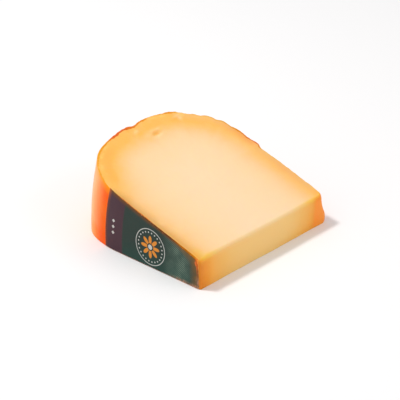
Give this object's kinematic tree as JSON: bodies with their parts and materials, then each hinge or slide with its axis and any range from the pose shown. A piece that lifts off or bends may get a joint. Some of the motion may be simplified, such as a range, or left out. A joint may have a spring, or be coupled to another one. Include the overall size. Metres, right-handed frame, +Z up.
{
  "type": "cheese wedge",
  "caption": "Wedge of semi-hard wheel cheese with an orange coated rind and a printed label, lying on a cut face with its thin point cut off.",
  "frame": {"origin": "under the middle of the part's box, on the plane of the foot", "axes": "+Z up; the wheel's axis runs along X, the labelled flat side faces -X, the cut that took off the point faces -Y and the curved rim faces +Y"},
  "size_m": [0.1196, 0.1202, 0.0541],
  "materials": {
    "cheese": "smooth moist paste, pale yellow at the middle and golden to orange at the coated rind",
    "label_paper": null
  },
  "bodies": {
    "root": {"cheese_wedge": "cheese", "label": "label_paper"}
  },
  "joints": []
}
